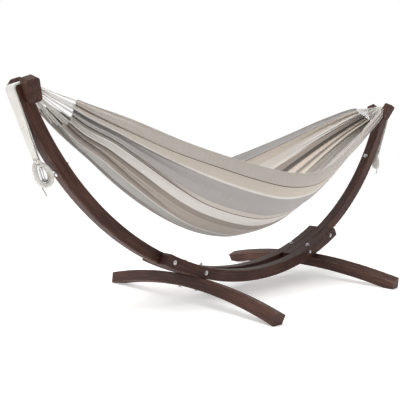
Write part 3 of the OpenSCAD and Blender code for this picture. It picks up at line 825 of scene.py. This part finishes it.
def make_end(side, points, cotton, winding):
    """Strings, free loop, whipping and loose end of one end of the hammock."""
    word = "left" if side < 0 else "right"
    paths = string_paths(side, cloth_ends(points, side))
    mesh, faces, uvs = joined([tube(p, STRING_RADIUS, 7) for p in paths])
    strings = new_mesh("strings_" + word, mesh, faces, cotton, uvs)
    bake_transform(strings)
    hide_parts("fan_" + word, "harness_" + word)

    mesh, faces, uvs = joined(loop_strands(side))
    loop = new_mesh("loop_strands_" + word, mesh, faces, cotton, uvs)
    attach(loop, "stand")
    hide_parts("end_loop_" + word)

    mesh, faces, uvs = tube(whipping_route(side), WHIPPING_RADIUS, 8)
    band = new_mesh("whipping_turns_" + word, mesh, faces, winding, uvs)
    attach(band, "stand")
    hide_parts("whipping_" + word)

    make_tail(side, word, winding)


# The free loop's oval bundle: a ring of strings, and the tubes that fill it. It is widest in its inner leg
LOOP_HALF_WIDE, LOOP_ADDED_WIDE, LOOP_HALF_THICK = 0.0105, 0.0085, 0.0080
LOOP_STRINGS = 18
LOOP_STRING_RADIUS = 0.0019
LOOP_CORE_RADIUS = 0.0070
LOOP_FILL_RADIUS = 0.0058
LOOP_TWIST = 0.55       # turns of the outer strings round the bundle


def loop_strands(side):
    """Tubes of the free loop: those that fill it, and a ring of strings that twist slowly round them."""
    route = smooth_path(LOOP_ROUTE, 6)
    slope = tangents(route)
    u = unit(np.cross(slope, [0.0, 1.0, 0.0]))
    w = np.cross(u, slope)
    share = np.linspace(0, 1, len(route))
    wide = LOOP_HALF_WIDE + LOOP_ADDED_WIDE * np.sin(np.pi * np.minimum(1.7 * share, 1.0)) ** 2
    parts = [tube(mirrored(route, side), LOOP_CORE_RADIUS, 10)]
    for k in range(LOOP_STRINGS):
        angle = 2 * np.pi * (k / LOOP_STRINGS + LOOP_TWIST * share)
        path = route + LOOP_HALF_THICK * np.cos(angle)[:, None] * u + (wide * np.sin(angle))[:, None] * w
        parts.append(tube(mirrored(path, side), LOOP_STRING_RADIUS, 6))
    for k in (-1, -0.45, 0.45, 1):
        path = route + (k * (wide - 0.005))[:, None] * w
        parts.append(tube(mirrored(path, side), LOOP_FILL_RADIUS, 8))
    return parts


WHIPPING_TURNS = 6.5
WHIPPING_START, WHIPPING_LENGTH = 0.0015, 0.0165
WHIPPING_HALF_THICK, WHIPPING_HALF_WIDE = 0.0100, 0.0232


def whipping_route(side):
    """Cord wound round the neck of the bundle."""
    direction = unit(NECK - saddle(90))
    u = unit(np.cross(direction, [0.0, 1.0, 0.0]))
    w = np.cross(u, direction)
    share = np.linspace(0, 1, 170)
    angle = 2 * np.pi * WHIPPING_TURNS * share
    path = (NECK + (WHIPPING_START + WHIPPING_LENGTH * share)[:, None] * direction
            + (WHIPPING_HALF_THICK * np.cos(angle))[:, None] * u
            + (WHIPPING_HALF_WIDE * np.sin(angle))[:, None] * w)
    return mirrored(path, side)


def make_tail(side, word, material):
    """Loose end of the whipping cord below the loop."""
    route = mirrored(smooth_path(TAIL_ROUTE, 5), side)
    curve = bpy.data.curves.new("tail_end_" + word, "CURVE")
    curve.dimensions = "3D"
    curve.bevel_depth = TAIL_D / 2
    curve.bevel_resolution = 3
    curve.use_fill_caps = True
    spline = curve.splines.new("POLY")
    spline.points.add(len(route) - 1)
    for point, place in zip(spline.points, route):
        point.co = (*place, 1.0)
    curve.materials.append(material)
    tail = bpy.data.objects.new("tail_end_" + word, curve)
    bpy.context.scene.collection.objects.link(tail)
    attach(tail, "stand")
    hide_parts("tail_" + word)


# ---------------------------------------------------------------- CAD nodes' materials

def paint(names, material):
    """Gives CAD nodes one material in every slot."""
    for name in names:
        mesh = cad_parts[name].data
        if not mesh.materials:
            mesh.materials.append(material)
        for i in range(len(mesh.materials)):
            mesh.materials[i] = material


def paint_stand():
    for seed, name in enumerate(("arm_left", "arm_right")):
        paint([name], wood_material(name + "_wood", arc_grain, seed, 0.0, HALF))
    for seed, (name, y) in enumerate((("side_beam_near", -SIDE_Y), ("side_beam_far", SIDE_Y))):
        paint([name], wood_material(name + "_wood", arc_grain, seed + 2, y, HALF))
    paint(["foot_left", "foot_right"], wood_material("foot_wood", foot_grain, 5, 0.0, HALF))
    for seed, end in enumerate(("left", "right")):
        wood = wood_material("cheek_wood_" + end, arc_grain, seed + 7)
        paint(["cheek_%s_near" % end, "cheek_%s_far" % end], wood)
    zinc = steel_material("zinc_steel", srgb(198, 199, 200), 0.24, 0.42)
    hook = steel_material("hook_steel", srgb(184, 186, 188), 0.18, 0.34)
    for word in ("left", "right"):
        paint([part + word for part in (
            "cross_bolts_", "cross_washers_", "cross_nuts_", "foot_bolts_", "foot_washers_",
            "foot_cap_nuts_", "eye_bolt_", "eye_washers_", "eye_nut_")], zinc)
        paint(["snap_hook_" + word, "snap_gate_" + word, "gate_pin_" + word], hook)


# ---------------------------------------------------------------- build

make_camera()
make_studio()
make_floor()
paint_stand()
cotton_string = string_material("cotton_string", srgb(222, 219, 214), srgb(182, 177, 170), 0.009)
whipping_cord = string_material("whipping_cord", srgb(224, 221, 215), srgb(156, 149, 139), 0.005)
surface, flat_places, painted_fold_shades = cloth_surface()
sheet = make_cloth(surface, flat_places, painted_fold_shades)
hems = [make_hem("selvage_near", surface[:, 0], cotton_string),
        make_hem("selvage_far", surface[:, -1], cotton_string)]
for end_side in (-1, 1):
    make_end(end_side, surface, cotton_string, whipping_cord)
